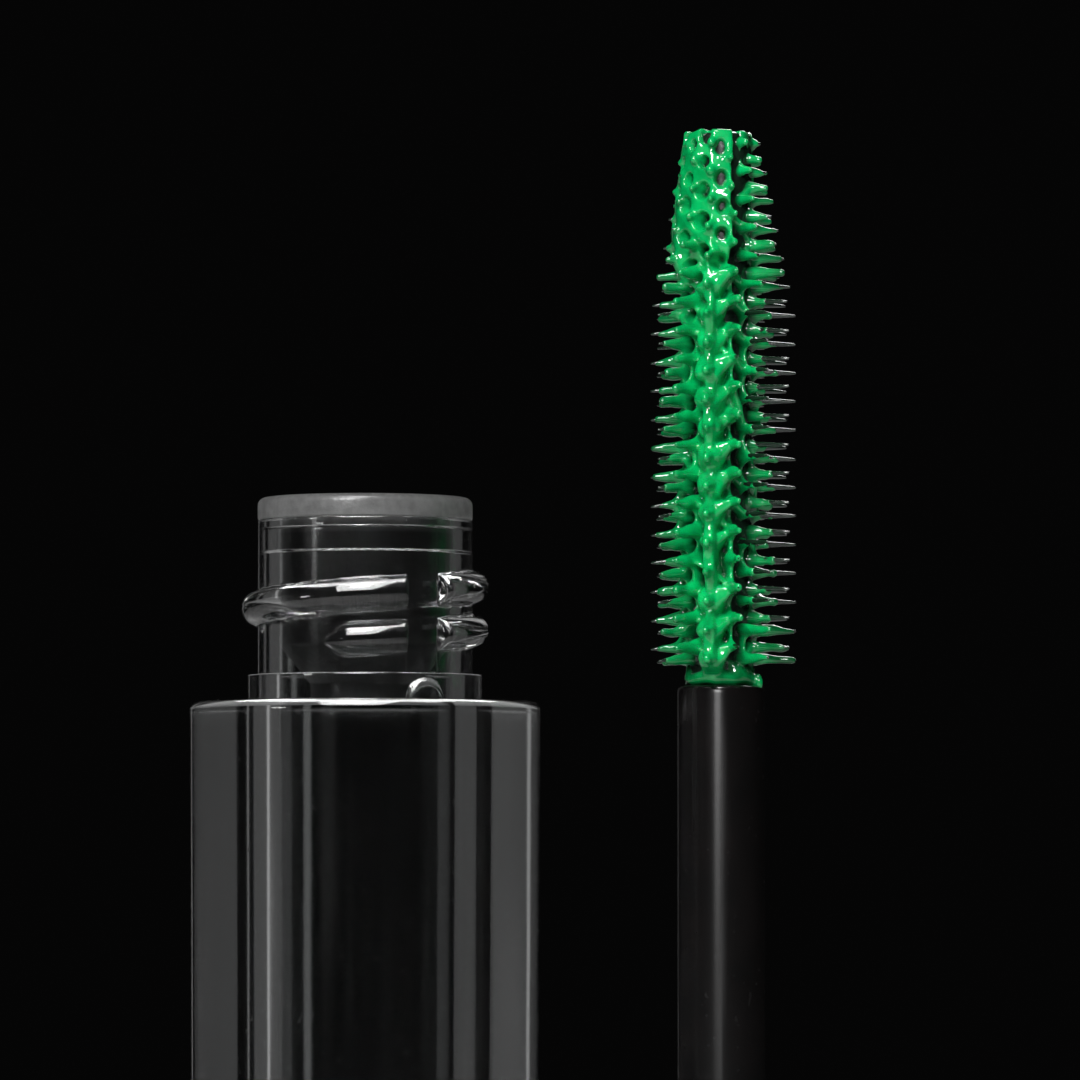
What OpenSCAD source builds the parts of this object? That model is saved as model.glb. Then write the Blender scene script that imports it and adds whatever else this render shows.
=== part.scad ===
// Open mascara: a thick clear bottle with its wiper, and the wand standing beside it on its cap.
// Origin at the centre of the bottle's base, +Z up, -Y to the front, the wand on the +X side. Millimetres.

/* [Bottle] */
// How much smaller the body's radius is at the base than at the shoulder, as moulding draft
body_draft = 0.3; // [0:0.05:0.6]
// Height of the shoulder, where the cap lands
shoulder_z = 63; // [57:0.5:90]
// Thickness of the solid base under the cavity
base_t = 6; // [2:0.25:7.5]
// Radius of the rounded edge round the base
base_round = 0.8; // [0.2:0.1:2]
// Radius of the rounded edge round the shoulder
shoulder_round = 0.5; // [0.1:0.05:0.8]
// How much narrower the cavity is just above the base than in the neck
cavity_draft = 0.2; // [0:0.05:0.4]
// Radius of the corner between cavity wall and base
cavity_round = 2; // [0.5:0.1:3]

/* [Neck] */
// Outer radius of the neck
neck_r = 5.65; // [5.3:0.05:6.8]
// Height of the neck above the shoulder
neck_h = 9.5; // [8.5:0.1:12]
// Wall of the neck
neck_wall = 1.15; // [0.8:0.05:1.25]
// How far the collar at the foot of the neck stands out from the neck
collar_step = 0.5; // [0.2:0.05:0.6]
// Height of the collar
collar_h = 1.4; // [1:0.1:1.8]
// How far the locking nub stands out from the collar
nub_step = 0.35; // [0.1:0.05:0.35]
// Radius of the domed nub
nub_r = 1.1; // [0.5:0.1:1.3]
// Bearing of the nub, in degrees right of the front
nub_bearing = 32; // [0:1:359]

/* [Thread] */
// Rise of the thread in one turn
pitch = 2.3; // [2:0.1:2.6]
// How far the half-round thread stands out from the neck
thread_step = 0.85; // [0.5:0.05:0.9]
// Height of the thread's start above the shoulder
thread_start = 3; // [2.8:0.1:3.6]
// Bearing of the thread's start, in degrees right of the front
thread_bearing = -20; // [-180:1:180]
// Turns of thread on the neck
thread_turns = 1.4; // [1:0.05:1.6]
// Bearing of the middle of the first gap in the thread, with another opposite
gap_bearing = 33.5; // [20:0.5:60]
// Width of each gap, in degrees
gap_width = 19; // [8:1:30]

/* [Wiper] */
// Thickness of the flange that covers the neck's rim
flange_t = 1.2; // [0.8:0.1:1.8]
// Wall of the wiper's skirt
skirt_wall = 0.58; // [0.4:0.02:0.7]
// Length of the straight skirt below the flange
skirt_h = 6; // [4:0.25:7]
// Length of the funnel below the skirt
funnel_h = 2.6; // [2:0.1:3]
// Length of the round orifice under the funnel
orifice_h = 1.1; // [0.8:0.1:1.4]
// Wall round the orifice
orifice_wall = 0.5; // [0.3:0.05:0.7]
// Height of the snap bead that holds the wiper in the neck
bead_h = 1.1; // [0.6:0.1:1.6]
// How far the snap bead stands out from the skirt
bead_step = 0.14; // [0.05:0.01:0.2]

/* [Cap] */
// Height of the outer cap
cap_h = 38.5; // [34:0.5:48]
// Wall of the outer cap
cap_wall = 1.1; // [0.8:0.05:2]
// Thickness of the outer cap's closed end
cap_end_t = 1.5; // [1:0.1:2.5]
// How much smaller the cap's radius is at its closed end
cap_draft = 0.2; // [0:0.05:0.3]
// Radius of the rounded edge round the cap's closed end
cap_round = 0.6; // [0.2:0.05:1]
// Wall of the inner cap's threaded sleeve
sleeve_wall = 1; // [0.7:0.05:1.6]
// Room between that sleeve and the outer cap, which the ribs bridge
rib_room = 0.45; // [0.2:0.05:0.7]
// Thickness of the inner cap's roof
roof_t = 1.5; // [1:0.1:2]
// Depth of the inner cap's mouth below the outer cap's mouth
mouth_inset = 0.2; // [0:0.05:0.6]
// Height of the rim round the inner cap's mouth
rim_h = 1.2; // [0.8:0.1:1.6]
// Wall of the collet that grips the stem
collet_wall = 1.2; // [0.8:0.1:1.6]
// Length of the collet below the roof
collet_h = 14; // [10:0.5:16]
// Number of ribs round the sleeve
rib_count = 16; // [6:1:24]
// Radius of each rib
rib_r = 0.4; // [0.25:0.05:0.5]
// Number of fins round the collet
fin_count = 4; // [3:1:8]
// Thickness of each fin
fin_t = 0.9; // [0.6:0.1:1.4]
// Radius of the half-round ridge that runs under the neck's thread
ridge_r = 0.5; // [0.3:0.05:0.6]
// Lengths of ridge inside the sleeve, each a part of one turning line
ridge_count = 3; // [2:1:3]
// Turn that each length of ridge covers, in degrees
ridge_span = 150; // [90:5:165]
// Thickness of the sealing liner
liner_t = 0.76; // [0.5:0.02:1.2]

/* [Stem] */
// Radius of the stem
stem_r = 2.3; // [1.9:0.05:2.75]
// Room left between the brush's end and the bottle's base when the wand is screwed home
end_room = 2.46; // [1:0.02:6]
// Radius of the rounded edge at the stem's top
stem_round = 0.3; // [0.1:0.05:0.5]
// Radius of the hole for the brush's shank
shank_hole_r = 1; // [0.7:0.05:1.1]
// Depth of that hole
shank_hole_h = 8; // [5:0.5:10]

/* [Brush] */
// Length of the brush above the stem
brush_h = 29.2; // [24:0.2:30]
// Radius of the brush's core
core_r = 1.65; // [1.3:0.05:1.8]
// Gap between the longest bristles and the wall of the cavity
bristle_gap = 0.3; // [0.1:0.05:1]
// Radius that they reach at the flat end
end_reach = 1.95; // [1.8:0.05:2.4]
// How fast they lengthen away from the end, per millimetre
reach_slope = 0.2; // [0.1:0.01:0.4]
// Share by which the bristles are longer on one side and shorter on the other
reach_bias = 0.04; // [0:0.005:0.05]
// Rows of bristles round the core
row_count = 14; // [8:2:14]
// Spacing of the bristles along a row
bristle_pitch = 1.51; // [1.3:0.01:2.4]
// Share of that spacing by which every other row is raised
row_stagger = 0.42; // [0:0.02:0.5]
// Height of the lowest bristle above the stem
first_bristle = 1.4; // [1.1:0.1:3]
// Radius of a bristle where it leaves the core
bristle_root = 0.26; // [0.18:0.01:0.3]
// Radius of a bristle's tip
bristle_tip = 0.07; // [0.05:0.01:0.12]

/* [Product] */
// Thickness of the product along the core
coat_t = 0.7; // [0.3:0.05:0.9]
// Thickness of the product at the two ends
coat_end_t = 0.35; // [0.2:0.05:0.5]

/* [Layout] */
// Gap between the bottle and the cap that stands beside it
stand_gap = 0.3; // [0.3:0.1:20]

/* [Hidden] */
$fn = 96;

press_gap = 0.02;      // between pieces that are pushed together
running_gap = 0.05;    // between the stem and the wiper's orifice
sink = 0.3;            // how deep a bristle is buried in the core
edge_steps = 6;        // segments in a rounded edge
socket_room = 0.15;    // between the nub and the inner cap's wall
rim_to_bead = 0.53;    // from the neck's rim down to the wiper's snap bead
flange_round = 0.4;    // radius of the flange's outer edge
lip_round = 0.25;      // radius of the wiper's inner edge
lead_in = 0.6;         // how far the funnel's foot end tapers in before the skirt
collar_round = 0.2;    // radius of the collar's edge
mouth_round = 0.15;    // radius of the outer cap's edge round its mouth
ridge_gap = 20;        // degrees between two lengths of ridge
ridge_bury = 0.1;      // how far the ridge's line stands in from the sleeve's wall
ridge_lead = 0.6;      // height that keeps the ridge half a pitch clear of the neck's thread
rib_lift = 0.5;        // height of the ribs' feet above the roof's underside
fin_lift = 2;          // height of the fins' feet above the collet's
fin_room = 0.3;        // between the fins and the outer cap
fin_bury = 0.1;        // how far the fins run up into the roof
liner_room = 0.2;      // between the liner and the ridge
liner_bore_room = 0.3; // between the liner and the stem
foot_chamfer = 0.3;    // at the stem's foot
foot_bead_lift = 2;    // height of the stem's snap bead above its foot
foot_bead_h = 1;       // height of that bead
foot_bead_step = 0.2;  // how far it stands out
shank_room = 0.2;      // below the brush's shank
coat_rise = 1.5;       // height over which the product thickens at the foot
coat_fade = 5;         // height over which it thins at the tip
tip_bare = 0.15;       // bare core at the tip

// The neck, the cap's two shells round it, and the body flush with the cap
collar_r = neck_r + collar_step;
nub_reach = collar_r + nub_step;
socket_r = nub_reach + socket_room;
sleeve_r = socket_r + sleeve_wall;
cap_bore_r = sleeve_r + rib_room;
cap_r = cap_bore_r + cap_wall;
body_r = cap_r;
base_r = body_r - body_draft;

// Bottle and wiper
neck_top = shoulder_z + neck_h;
bore_r = neck_r - neck_wall;
cavity_r = bore_r - cavity_draft;
skirt_r = bore_r - press_gap;
skirt_bore_r = skirt_r - skirt_wall;
orifice_r = stem_r + running_gap;
bead_top = neck_top - rim_to_bead;
bead_r = skirt_r + bead_step;

// Cap, seen standing on its closed end with the mouth up
wand_x = 2 * body_r + stand_gap;
mouth_z = cap_h - mouth_inset;
closed_neck_h = neck_h + flange_t;
roof_z = cap_h - closed_neck_h - liner_t - 2 * press_gap;
roof_under = roof_z - roof_t;
collet_r = stem_r + press_gap + collet_wall;
collet_foot = roof_under - collet_h;
ridge_line_r = socket_r - ridge_bury;
ridge_crest = ridge_line_r - ridge_r;
ridge_turn = ridge_count * (ridge_span + ridge_gap) - ridge_gap;
ridge_start = cap_h - thread_start - rise(ridge_turn) + ridge_lead;
liner_r = ridge_crest - liner_room;
liner_hole_r = stem_r + liner_bore_room;

// Stem, brush and product
stem_foot = collet_foot + collet_wall + press_gap;
stem_top = cap_h + shoulder_z - base_t - end_room - brush_h;
foot_bead_z = stem_foot + foot_bead_lift;
brush_top = stem_top + brush_h;
bristle_reach = (cavity_r - bristle_gap) / (1 + reach_bias);
shank_r = shank_hole_r - press_gap;
shank_foot = stem_top - shank_hole_h + shank_room;
coat_foot = stem_top + press_gap;
coat_top = brush_top - tip_bare;

// Points along an arc of radius r about [x, z], from angle a to angle b
function arc(x, z, r, a, b) =
    [for (i = [0 : edge_steps]) let (t = a + (b - a) * i / edge_steps) [x + r * cos(t), z + r * sin(t)]];

// How high the thread's centre line is above its start, after turning by a degrees
function rise(a) = pitch * a / 360;

// How far the bristles reach at height z
function reach(z) = min(bristle_reach, end_reach + reach_slope * (brush_top - z));

module lathe(points) {
    rotate_extrude() polygon(points);
}

// A length of round bar along a rising line, as a ring tilted to meet that line at both ends and the middle
module thread_run(line_r, bar_r, from, to) {
    half = (to - from) / 2;
    tilt = asin(rise(half) / (line_r * sin(half)));
    rotate([0, 0, from + half])
        translate([0, 0, rise(from + half)])
            rotate([tilt, 0, 0])
                rotate([0, 0, -half])
                    rotate_extrude(angle = 2 * half)
                        translate([line_r, 0])
                            circle(r = bar_r, $fn = 32);
}

// The thread's runs between its gaps
module neck_thread() {
    total = 360 * thread_turns;
    half = gap_width / 2;
    first = gap_bearing - thread_bearing;
    gaps = [for (g = [first : 180 : total - half]) g];
    starts = concat([0], [for (g = gaps) g + half]);
    ends = concat([for (g = gaps) g - half], [total]);
    translate([0, 0, shoulder_z + thread_start])
        rotate([0, 0, thread_bearing - 90])
            for (i = [0 : len(starts) - 1])
                thread_run(neck_r, thread_step, starts[i], ends[i]);
}

// A half disc on the shoulder, with its face curved round the neck's axis
module nub() {
    translate([0, 0, shoulder_z])
        intersection() {
            translate([0, 0, -nub_r])
                cylinder(r = nub_reach, h = 2 * nub_r);
            rotate([0, 90, nub_bearing - 90])
                cylinder(r = nub_r, h = body_r, $fn = 48);
        }
}

module bottle() {
    color([0.16, 0.17, 0.17, 0.6])
    difference() {
        union() {
            lathe(concat(
                [[0, 0]],
                arc(base_r - base_round, base_round, base_round, -90, 0),
                arc(body_r - shoulder_round, shoulder_z - shoulder_round, shoulder_round, 0, 90),
                [[collar_r, shoulder_z]],
                arc(collar_r - collar_round, shoulder_z + collar_h - collar_round, collar_round, 0, 90),
                [[neck_r, shoulder_z + collar_h], [neck_r, neck_top], [0, neck_top]]
            ));
            neck_thread();
            nub();
        }
        lathe(concat(
            [[0, base_t]],
            arc(cavity_r - cavity_round, base_t + cavity_round, cavity_round, -90, 0),
            [
                [bore_r, neck_top - skirt_h - funnel_h],
                [bore_r, bead_top - bead_h - bead_step],
                [bead_r + press_gap, bead_top - bead_h],
                [bead_r + press_gap, bead_top],
                [bore_r, bead_top + bead_step],
                [bore_r, neck_top + 1],
                [0, neck_top + 1]
            ]
        ));
    }
}

module wiper() {
    skirt_foot = neck_top - skirt_h;
    funnel_foot = skirt_foot - funnel_h;
    orifice_foot = funnel_foot - orifice_h;
    flange_top = neck_top + flange_t;
    color([0.55, 0.56, 0.56])
    lathe(concat(
        [
            [orifice_r, orifice_foot],
            [orifice_r + orifice_wall, orifice_foot],
            [orifice_r + orifice_wall, funnel_foot],
            [skirt_r, skirt_foot - lead_in],
            [skirt_r, bead_top - bead_h - bead_step],
            [bead_r, bead_top - bead_h],
            [bead_r, bead_top],
            [skirt_r, bead_top + bead_step],
            [skirt_r, neck_top],
            [neck_r, neck_top]
        ],
        arc(neck_r - flange_round, flange_top - flange_round, flange_round, 0, 90),
        arc(skirt_bore_r + lip_round, flange_top - lip_round, lip_round, 90, 180),
        [[skirt_bore_r, skirt_foot], [orifice_r, funnel_foot]]
    ));
}

module outer_cap() {
    end_r = cap_r - cap_draft;
    color([0.03, 0.03, 0.03])
    translate([wand_x, 0, 0])
    difference() {
        lathe(concat(
            [[0, 0]],
            arc(end_r - cap_round, cap_round, cap_round, -90, 0),
            arc(cap_r - mouth_round, cap_h - mouth_round, mouth_round, 0, 90),
            [[0, cap_h]]
        ));
        translate([0, 0, cap_end_t])
            cylinder(r = cap_bore_r, h = cap_h);
    }
}

module cap_ridge() {
    translate([0, 0, ridge_start])
        for (i = [0 : ridge_count - 1])
            thread_run(ridge_line_r, ridge_r, i * (ridge_span + ridge_gap), i * (ridge_span + ridge_gap) + ridge_span);
}

module inner_cap() {
    color([0.05, 0.05, 0.05])
    translate([wand_x, 0, 0]) {
        difference() {
            union() {
                lathe([
                    [0, collet_foot],
                    [collet_r, collet_foot],
                    [collet_r, roof_under],
                    [sleeve_r, roof_under],
                    [sleeve_r, mouth_z - rim_h],
                    [cap_bore_r - press_gap, mouth_z - rim_h],
                    [cap_bore_r - press_gap, mouth_z],
                    [0, mouth_z]
                ]);
                for (i = [0 : rib_count - 1])
                    rotate([0, 0, 360 * i / rib_count])
                        translate([cap_bore_r - 2 * press_gap - rib_r, 0, roof_under + rib_lift])
                            cylinder(r = rib_r, h = mouth_z - rim_h / 2 - roof_under - rib_lift, $fn = 24);
                for (i = [0 : fin_count - 1])
                    rotate([0, 0, 360 * i / fin_count])
                        translate([0, -fin_t / 2, collet_foot + fin_lift])
                            cube([cap_bore_r - fin_room, fin_t, roof_under - collet_foot - fin_lift + fin_bury]);
            }
            translate([0, 0, roof_z])
                cylinder(r = socket_r, h = cap_h);
            translate([0, 0, collet_foot + collet_wall])
                cylinder(r = stem_r + press_gap, h = cap_h);
            translate([0, 0, foot_bead_z - press_gap])
                cylinder(r = stem_r + foot_bead_step + press_gap, h = foot_bead_h + 2 * press_gap);
        }
        cap_ridge();
    }
}

module cap_liner() {
    color([0.85, 0.85, 0.83])
    translate([wand_x, 0, roof_z + press_gap])
    difference() {
        cylinder(r = liner_r, h = liner_t);
        translate([0, 0, -1])
            cylinder(r = liner_hole_r, h = liner_t + 2);
    }
}

module stem() {
    color([0.02, 0.02, 0.02])
    translate([wand_x, 0, 0])
    difference() {
        lathe(concat(
            [
                [0, stem_foot],
                [stem_r - foot_chamfer, stem_foot],
                [stem_r, stem_foot + foot_chamfer],
                [stem_r, foot_bead_z],
                [stem_r + foot_bead_step, foot_bead_z],
                [stem_r + foot_bead_step, foot_bead_z + foot_bead_h],
                [stem_r, foot_bead_z + foot_bead_h]
            ],
            arc(stem_r - stem_round, stem_top - stem_round, stem_round, 0, 90),
            [[0, stem_top]]
        ));
        translate([0, 0, stem_top - shank_hole_h])
            cylinder(r = shank_hole_r, h = shank_hole_h + 1);
    }
}

module bristle(z, bearing) {
    length = reach(z) * (1 + reach_bias * cos(bearing)) - core_r + sink;
    rotate([0, 0, bearing])
        translate([core_r - sink, 0, z])
            rotate([0, 90, 0])
                cylinder(r1 = bristle_root, r2 = bristle_tip, h = length, $fn = 16);
}

module brush() {
    color([0.03, 0.03, 0.03])
    translate([wand_x, 0, 0]) {
        lathe([
            [0, shank_foot],
            [shank_r, shank_foot],
            [shank_r, stem_top],
            [core_r, stem_top],
            [core_r, brush_top],
            [0, brush_top]
        ]);
        for (row = [0 : row_count - 1]) {
            lowest = stem_top + first_bristle + bristle_pitch * row_stagger * (row % 2);
            for (z = [lowest : bristle_pitch : brush_top - 2 * bristle_root])
                bristle(z, 360 * row / row_count);
        }
    }
}

module product_coat() {
    coat_bore_r = core_r + press_gap;
    end_r = core_r + coat_end_t;
    color([0.0, 0.5, 0.25])
    translate([wand_x, 0, 0])
    lathe([
        [coat_bore_r, coat_foot],
        [end_r, coat_foot],
        [core_r + coat_t, coat_foot + coat_rise],
        [core_r + coat_t, coat_top - coat_fade],
        [end_r, coat_top],
        [coat_bore_r, coat_top]
    ]);
}

bottle();
wiper();
outer_cap();
inner_cap();
cap_liner();
stem();
brush();
product_coat();
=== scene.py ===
# %% [markdown]
# # A clear mascara bottle and its wand
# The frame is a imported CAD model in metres: the bottle stands on its base at the origin, and the wand
# stands beside it on its closed cap, brush upwards. This lesson dresses that frame. Most CAD nodes are
# replaced by smoother surfaces worked out with numpy, and every surface gets a node-based material.

# %% Load the frame
import math

import bpy
import numpy as np
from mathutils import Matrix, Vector


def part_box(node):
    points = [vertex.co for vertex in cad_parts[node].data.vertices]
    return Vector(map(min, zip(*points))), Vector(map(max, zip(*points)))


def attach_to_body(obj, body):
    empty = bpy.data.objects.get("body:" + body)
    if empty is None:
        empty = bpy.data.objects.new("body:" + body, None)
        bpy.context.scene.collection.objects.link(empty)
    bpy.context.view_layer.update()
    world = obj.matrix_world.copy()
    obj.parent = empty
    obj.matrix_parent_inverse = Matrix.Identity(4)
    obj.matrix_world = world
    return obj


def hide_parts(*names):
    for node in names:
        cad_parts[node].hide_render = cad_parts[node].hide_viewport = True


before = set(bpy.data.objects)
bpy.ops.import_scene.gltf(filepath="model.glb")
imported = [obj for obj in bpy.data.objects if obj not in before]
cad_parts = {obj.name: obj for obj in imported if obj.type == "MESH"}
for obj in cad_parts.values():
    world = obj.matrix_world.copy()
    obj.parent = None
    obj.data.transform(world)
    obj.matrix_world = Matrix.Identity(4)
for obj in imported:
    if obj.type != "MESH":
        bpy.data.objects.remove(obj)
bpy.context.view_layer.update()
MM = 0.001

# %% [markdown]
# The sizes that matter come from the frame itself, so a change of the CAD moves the looks with it.
# A box gives a round piece's axis and its largest radius. What a box does not show, such as the height of
# the neck, the bead round the stem's foot or the radius of an edge, is written here in millimetres.

# %% Read the main sizes


def box_mm(node):
    """Lowest and highest corner of a node, in millimetres."""
    low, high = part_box(node)
    return np.array(low) / MM, np.array(high) / MM


bottle_high = box_mm("bottle")[1]
wiper_high = box_mm("wiper")[1]
brush_high = box_mm("brush")[1]
cap_low, cap_high = box_mm("outer_cap")
stem_low, stem_high = box_mm("stem")

NECK_H = 9.5
STEM_BEAD = 0.2
BODY_R = bottle_high[0]
NECK_TOP = bottle_high[2]
NECK_R = wiper_high[0]
FLANGE_TOP = wiper_high[2]
WAND_X = (cap_low[0] + cap_high[0]) / 2
CAP_R = (cap_high[0] - cap_low[0]) / 2
CAP_H = cap_high[2]
STEM_FOOT = stem_low[2]
STEM_TOP = stem_high[2]
STEM_R = (stem_high[0] - stem_low[0]) / 2 - STEM_BEAD
BRUSH_TOP = brush_high[2]
SHOULDER_Z = NECK_TOP - NECK_H
CORE_R = 1.65
print("neck radius", NECK_R, "shoulder", SHOULDER_Z, "wand axis", WAND_X, "stem radius", STEM_R)

# %% [markdown]
# ## Helpers for round pieces
# A round piece is a profile turned about an axis. A bearing of 0 faces the front (-Y) and 90 the right
# (+X). When the profile runs up the outside and down the inside, the faces point out of the material.
# Each corner of a profile is rounded with an arc, because no moulded edge is perfectly sharp, and a
# support point beside each arc keeps the long walls flat in their shading.

# %% Rounded profiles


def rounded(corners, steps=5, support=0.12):
    """Profile through corners (r, z, fillet): each corner is cut back and joined by a circular arc."""
    pts = np.array([c[:2] for c in corners], float)
    out = [pts[0]]
    for i in range(1, len(corners) - 1):
        here = pts[i]
        before = pts[i - 1] - here
        after = pts[i + 1] - here
        len_b = np.linalg.norm(before)
        len_a = np.linalg.norm(after)
        u = before / len_b
        v = after / len_a
        half = 0.5 * math.acos(float(np.clip(u @ v, -1, 1)))
        cut = min(corners[i][2] / math.tan(half), 0.48 * len_b, 0.48 * len_a)
        if cut < 1e-6:
            out.append(here)
            continue
        radius = cut * math.tan(half)
        middle = here + (u + v) / np.linalg.norm(u + v) * radius / math.sin(half)
        start = here + u * cut
        end = here + v * cut
        a0 = math.atan2(*(start - middle)[::-1])
        a1 = math.atan2(*(end - middle)[::-1])
        sweep = (a1 - a0 + math.pi) % (2 * math.pi) - math.pi
        angle = a0 + sweep * np.linspace(0, 1, steps + 1)
        if len_b > 4 * cut:
            out.append(start + u * min(support, 0.3 * len_b))
        out.extend(middle + radius * np.c_[np.cos(angle), np.sin(angle)])
        if len_a > 4 * cut:
            out.append(end + v * min(support, 0.3 * len_a))
    out.append(pts[-1])
    return np.array(out)


# %% Turn a grid of points into a piece


def to_mesh(name, points, faces):
    """New object from points in millimetres and a list of face arrays, with smooth shading."""
    mesh = bpy.data.meshes.new(name)
    corners = [face for part in faces for face in part.tolist()]
    mesh.from_pydata((np.asarray(points) * MM).tolist(), [], corners)
    mesh.polygons.foreach_set("use_smooth", np.ones(len(mesh.polygons), bool))
    mesh.update()
    obj = bpy.data.objects.new(name, mesh)
    bpy.context.scene.collection.objects.link(obj)
    tris = sum(len(p.vertices) - 2 for p in mesh.polygons)
    print(f"{name}: {len(mesh.vertices)} points, {tris} triangles")
    return obj


def skin(rows, cols, closed=False):
    """Quads over a grid that wraps round in columns, and in rows too when closed."""
    index = np.arange(rows * cols).reshape(rows, cols)
    if closed:
        index = np.vstack([index, index[:1]])
    right = np.roll(index, -1, axis=1)
    return np.stack([index[:-1], right[:-1], right[1:], index[1:]], -1).reshape(-1, 4)


def turn(name, radius, height, bearing, axis_x=0.0):
    """Piece from radius and height grids (rows, columns): x = r sin b, y = -r cos b about its axis.
    A first or last row of zero radius becomes one pole with a fan; with neither, the grid is a ring."""
    poles = [radius[0].max() < 1e-9, radius[-1].max() < 1e-9]
    low_pole = np.array([[axis_x, 0, height[0, 0]]])
    high_pole = np.array([[axis_x, 0, height[-1, 0]]])
    keep = slice(1 if poles[0] else 0, -1 if poles[1] else None)
    r = radius[keep]
    z = height[keep]
    b = np.broadcast_to(bearing, r.shape)
    grid = np.stack([axis_x + r * np.sin(b), -r * np.cos(b), z], -1)
    rows, cols = r.shape
    points = grid.reshape(-1, 3)
    faces = [skin(rows, cols, closed=not any(poles))]
    column = np.arange(cols)
    after = np.roll(column, -1)
    if poles[0]:
        faces.append(np.stack([after, column, np.full(cols, len(points))], -1))
        points = np.vstack([points, low_pole])
    if poles[1]:
        last = (rows - 1) * cols
        faces.append(np.stack([last + column, last + after, np.full(cols, len(points))], -1))
        points = np.vstack([points, high_pole])
    return to_mesh(name, points, faces)


def lathe(name, corners, axis_x=0.0, columns=180, steps=5):
    """Plain turned piece: the rounded profile at every bearing."""
    profile = rounded(corners, steps)
    bearing = np.linspace(0, 2 * np.pi, columns, endpoint=False)
    radius = np.repeat(profile[:, :1], columns, axis=1)
    height = np.repeat(profile[:, 1:], columns, axis=1)
    return turn(name, radius, height, bearing, axis_x)


def dress(obj, node, body, material):
    """Give a new piece its material and the body it moves with, and hide the CAD node that it stands for.
    """
    obj.data.materials.append(material)
    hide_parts(node)
    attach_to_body(obj, body)


# %% [markdown]
# ## Shared effects
# Three effects turn up in several materials, so each is a node group that is built once: `grain` is the
# fine unevenness of moulded plastic, `scuffs` the thin vertical scratches and dust of handling, and
# `mottle` a slow change of colour. They put out only a normal, a roughness and a colour. The shaders stay
# in the materials.

# %% Group helpers


def new_group(name, inputs, outputs):
    """Empty shader group. inputs and outputs are (kind, name, default) and (kind, name)."""
    group = bpy.data.node_groups.new(name, "ShaderNodeTree")
    for kind, label, value in inputs:
        socket = group.interface.new_socket(label, in_out="INPUT", socket_type="NodeSocket" + kind)
        socket.default_value = value
    for kind, label in outputs:
        group.interface.new_socket(label, in_out="OUTPUT", socket_type="NodeSocket" + kind)
    return group, group.nodes.new("NodeGroupInput"), group.nodes.new("NodeGroupOutput")


def node(tree, kind, links=None, **values):
    """New node in a tree. Keywords set its properties, and links maps an input to a socket or a value."""
    made = tree.nodes.new("ShaderNode" + kind)
    for key, value in values.items():
        setattr(made, key, value)
    for key, source in (links or {}).items():
        if isinstance(source, bpy.types.NodeSocket):
            tree.links.new(source, made.inputs[key])
        else:
            made.inputs[key].default_value = source
    return made


# %% Group: grain


def build_grain():
    """Fine bump: noise of the given scale, as a normal."""
    group, gin, gout = new_group(
        "grain",
        [("Float", "Scale", 2000.0), ("Float", "Depth", 0.00002), ("Float", "Strength", 0.3)],
        [("Vector", "Normal")],
    )
    where = node(group, "TexCoord").outputs["Object"]
    fine = node(group, "TexNoise", {"Vector": where, "Scale": gin.outputs["Scale"], "Detail": 3.0})
    bump = node(
        group,
        "Bump",
        {
            "Height": fine.outputs[0],
            "Distance": gin.outputs["Depth"],
            "Strength": gin.outputs["Strength"],
        },
    )
    group.links.new(bump.outputs[0], gout.inputs["Normal"])
    return group


grain = build_grain()

# %% Group: scuffs


def build_scuffs():
    """Roughness that rises on thin streaks along Z and on small specks, from Base by up to Amount."""
    group, gin, gout = new_group(
        "scuffs",
        [("Float", "Base", 0.1), ("Float", "Amount", 0.15), ("Float", "Streaks", 1500.0)],
        [("Float", "Roughness")],
    )
    where = node(group, "TexCoord").outputs["Object"]
    stretch = node(group, "Mapping", {"Vector": where, "Scale": (1, 1, 0.03)})
    streak = node(group, "TexNoise", {"Vector": stretch.outputs[0], "Scale": gin.outputs["Streaks"]})
    thin = node(group, "MapRange", {0: streak.outputs[0], 1: 0.58, 2: 0.75})
    speck = node(group, "TexNoise", {"Vector": where, "Scale": 2600.0, "Detail": 1.0})
    dust = node(group, "MapRange", {0: speck.outputs[0], 1: 0.68, 2: 0.78})
    both = node(group, "Math", {0: thin.outputs[0], 1: dust.outputs[0]}, operation="MAXIMUM")
    gain = node(group, "Math", {0: both.outputs[0], 1: gin.outputs["Amount"]}, operation="MULTIPLY")
    total = node(group, "Math", {0: gain.outputs[0], 1: gin.outputs["Base"]}, operation="ADD")
    group.links.new(total.outputs[0], gout.inputs["Roughness"])
    return group


scuffs = build_scuffs()

# %% Group: mottle


def build_mottle():
    """Colour that wanders between two values with a noise of the given scale."""
    group, gin, gout = new_group(
        "mottle",
        [
            ("Color", "Dark", (0.1, 0.1, 0.1, 1)),
            ("Color", "Light", (0.2, 0.2, 0.2, 1)),
            ("Float", "Scale", 600.0),
        ],
        [("Color", "Color")],
    )
    where = node(group, "TexCoord").outputs["Object"]
    cloud = node(group, "TexNoise", {"Vector": where, "Scale": gin.outputs["Scale"], "Detail": 4.0})
    spread = node(group, "MapRange", {0: cloud.outputs[0], 1: 0.3, 2: 0.7})
    mix = node(group, "Mix", {0: spread.outputs[0]}, data_type="RGBA")
    group.links.new(gin.outputs["Dark"], mix.inputs[6])
    group.links.new(gin.outputs["Light"], mix.inputs[7])
    group.links.new(mix.outputs[2], gout.inputs["Color"])
    return group


mottle = build_mottle()
print("groups:", [g.name for g in (grain, scuffs, mottle)])

# %% Material helpers


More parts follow.
